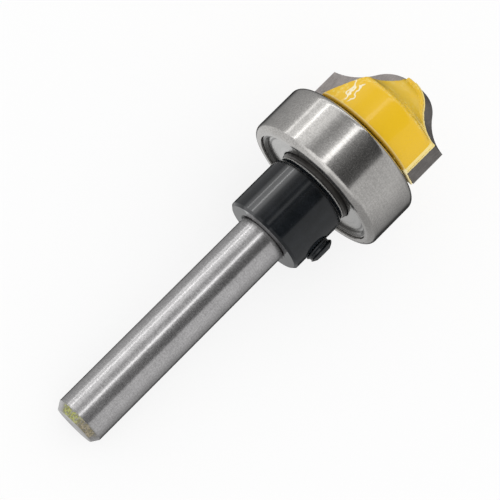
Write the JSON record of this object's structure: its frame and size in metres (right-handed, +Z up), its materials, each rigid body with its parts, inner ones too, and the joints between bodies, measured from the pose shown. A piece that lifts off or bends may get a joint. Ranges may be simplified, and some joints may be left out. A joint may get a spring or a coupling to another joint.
{
  "type": "router bit",
  "caption": "Ogee router bit with brazed carbide cutting edges on a painted body, a ball bearing that follows a template, and a lock collar with a set screw on its shank.",
  "frame": {"origin": "on the bench under the middle of the bit's length, as the bit lies on its shank's end edge and its bearing's rim", "axes": "+Z up from the bench; +X along the bit towards the cutting head, whose axis rises 9.3 degrees; +Y to the left, seen from the shank"},
  "size_m": [0.0562, 0.019, 0.0197],
  "materials": {
    "cutter": "ground steel shank, gloss yellow paint on the head",
    "carbide": "matte ground tungsten carbide",
    "black_steel": "glossy black oxide",
    "ring_steel": "ground bearing steel",
    "shield_steel": "polished sheet",
    "ball_steel": "polished",
    "cage_steel": "pressed sheet"
  },
  "bodies": {
    "cutter": {"cutter_body": "cutter", "carbide_tip_1": "carbide", "carbide_tip_2": "carbide", "washer": "black_steel", "bearing_inner_ring": "ring_steel"},
    "lock_collar": {"lock_collar": "black_steel"},
    "set_screw": {"set_screw": "black_steel"},
    "outer_ring": {"bearing_outer_ring": "ring_steel", "shield_shank_side": "shield_steel", "shield_head_side": "shield_steel"},
    "ball_cage": {"cage_half_shank_side": "cage_steel", "cage_half_head_side": "cage_steel", "cage_rivet_1": "cage_steel", "cage_rivet_2": "cage_steel", "cage_rivet_3": "cage_steel", "cage_rivet_4": "cage_steel", "cage_rivet_5": "cage_steel", "cage_rivet_6": "cage_steel", "cage_rivet_7": "cage_steel"},
    "ball_1": {"ball_1": "ball_steel"},
    "ball_2": {"ball_2": "ball_steel"},
    "ball_3": {"ball_3": "ball_steel"},
    "ball_4": {"ball_4": "ball_steel"},
    "ball_5": {"ball_5": "ball_steel"},
    "ball_6": {"ball_6": "ball_steel"},
    "ball_7": {"ball_7": "ball_steel"}
  },
  "joints": [
    {"name": "collar_slide", "type": "slide", "parent": "cutter", "child": "lock_collar", "axis": [-0.9869, 0, -0.1615], "range_m": [0, 0.0298]},
    {"name": "set_screw_travel", "type": "slide", "parent": "lock_collar", "child": "set_screw", "axis": [0.0028, -0.9998, -0.0172], "range_m": [0, 0.0016]},
    {"name": "bearing_spin", "type": "hinge", "parent": "cutter", "child": "outer_ring", "pos_m": [0.01424, 0, 0.00986], "axis": [0.9869, 0, 0.1615], "continuous": true},
    {"name": "cage_spin", "type": "hinge", "parent": "cutter", "child": "ball_cage", "pos_m": [0.01424, 0, 0.00986], "axis": [0.9869, 0, 0.1615], "continuous": true},
    {"name": "ball_1_spin", "type": "hinge", "parent": "ball_cage", "child": "ball_1", "pos_m": [0.01527, 0, 0.00359], "axis": [0.9869, 0, 0.1615], "continuous": true},
    {"name": "ball_2_spin", "type": "hinge", "parent": "ball_cage", "child": "ball_2", "pos_m": [0.01488, 0.00496, 0.00595], "axis": [0.9869, 0, 0.1615], "continuous": true},
    {"name": "ball_3_spin", "type": "hinge", "parent": "ball_cage", "child": "ball_3", "pos_m": [0.01402, 0.00619, 0.01125], "axis": [0.9869, 0, 0.1615], "continuous": true},
    {"name": "ball_4_spin", "type": "hinge", "parent": "ball_cage", "child": "ball_4", "pos_m": [0.01332, 0.00276, 0.0155], "axis": [0.9869, 0, 0.1615], "continuous": true},
    {"name": "ball_5_spin", "type": "hinge", "parent": "ball_cage", "child": "ball_5", "pos_m": [0.01332, -0.00276, 0.0155], "axis": [0.9869, 0, 0.1615], "continuous": true},
    {"name": "ball_6_spin", "type": "hinge", "parent": "ball_cage", "child": "ball_6", "pos_m": [0.01402, -0.00619, 0.01125], "axis": [0.9869, 0, 0.1615], "continuous": true},
    {"name": "ball_7_spin", "type": "hinge", "parent": "ball_cage", "child": "ball_7", "pos_m": [0.01488, -0.00496, 0.00595], "axis": [0.9869, 0, 0.1615], "continuous": true}
  ],
  "couplings": [
    {"joint": "cage_spin", "follows": "bearing_spin", "ratio": 0.64063},
    {"joint": "ball_1_spin", "follows": "bearing_spin", "ratio": 1.6371},
    {"joint": "ball_2_spin", "follows": "bearing_spin", "ratio": 1.6371},
    {"joint": "ball_3_spin", "follows": "bearing_spin", "ratio": 1.6371},
    {"joint": "ball_4_spin", "follows": "bearing_spin", "ratio": 1.6371},
    {"joint": "ball_5_spin", "follows": "bearing_spin", "ratio": 1.6371},
    {"joint": "ball_6_spin", "follows": "bearing_spin", "ratio": 1.6371},
    {"joint": "ball_7_spin", "follows": "bearing_spin", "ratio": 1.6371}
  ]
}
